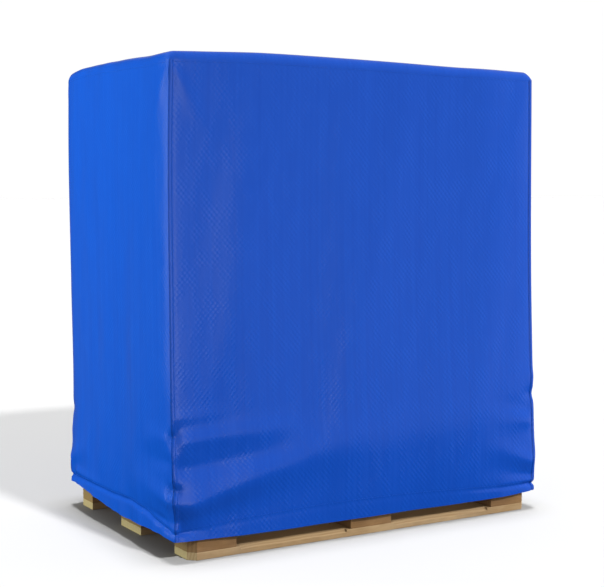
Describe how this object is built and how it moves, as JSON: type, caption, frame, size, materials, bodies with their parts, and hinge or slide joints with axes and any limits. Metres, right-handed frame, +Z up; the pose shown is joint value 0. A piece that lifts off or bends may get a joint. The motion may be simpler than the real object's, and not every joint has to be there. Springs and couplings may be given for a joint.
{
  "type": "fitted pallet cover",
  "caption": "Box-shaped woven fabric hood with an elastic hem, fitted over a carton load on a timber block pallet. The hood lifts straight off.",
  "frame": {"origin": "middle of the pallet's underside", "axes": "+X along the pallet's length, +Y from the cover's front to its back, +Z up"},
  "size_m": [1.27, 0.82, 1.3895],
  "materials": {
    "cover_fabric": "satin",
    "seam_tape": "matte",
    "elastic": "matte",
    "pallet_board": "matte",
    "pallet_block": "matte",
    "nail": "satin",
    "carton": "matte"
  },
  "bodies": {
    "loaded_pallet": {"back_bottom_board": "pallet_board", "back_centre_block": "pallet_block", "back_deck_board": "pallet_board", "back_left_block": "pallet_block", "back_narrow_deck_board": "pallet_board", "back_right_block": "pallet_block", "bottom_nails": "nail", "carton_layer_1_1": "carton", "carton_layer_1_2": "carton", "carton_layer_1_3": "carton", "carton_layer_1_4": "carton", "carton_layer_2_1": "carton", "carton_layer_2_2": "carton", "carton_layer_2_3": "carton", "carton_layer_2_4": "carton", "carton_layer_3_1": "carton", "carton_layer_3_2": "carton", "carton_layer_3_3": "carton", "carton_layer_3_4": "carton", "carton_layer_4_1": "carton", "carton_layer_4_2": "carton", "carton_layer_4_3": "carton", "carton_layer_4_4": "carton", "centre_stringer_board": "pallet_board", "deck_nails": "nail", "front_bottom_board": "pallet_board", "front_centre_block": "pallet_block", "front_deck_board": "pallet_board", "front_left_block": "pallet_block", "front_narrow_deck_board": "pallet_board", "front_right_block": "pallet_block", "left_stringer_board": "pallet_board", "middle_bottom_board": "pallet_board", "middle_centre_block": "pallet_block", "middle_deck_board": "pallet_board", "middle_left_block": "pallet_block", "middle_right_block": "pallet_block", "narrow_board_nails": "nail", "right_stringer_board": "pallet_board"},
    "cover": {"back_hem_facing": "cover_fabric", "back_left_seam_tape": "seam_tape", "back_panel": "cover_fabric", "back_right_seam_tape": "seam_tape", "front_hem_facing": "cover_fabric", "front_left_seam_tape": "seam_tape", "front_panel": "cover_fabric", "front_right_seam_tape": "seam_tape", "hem_elastic": "elastic", "left_hem_facing": "cover_fabric", "left_panel": "cover_fabric", "right_hem_facing": "cover_fabric", "right_panel": "cover_fabric", "top_panel": "cover_fabric", "top_seam_tape": "seam_tape"}
  },
  "joints": [
    {"name": "cover_lift", "type": "slide", "parent": "loaded_pallet", "child": "cover", "axis": [0, 0, 1], "range_m": [0, 1.35]}
  ]
}
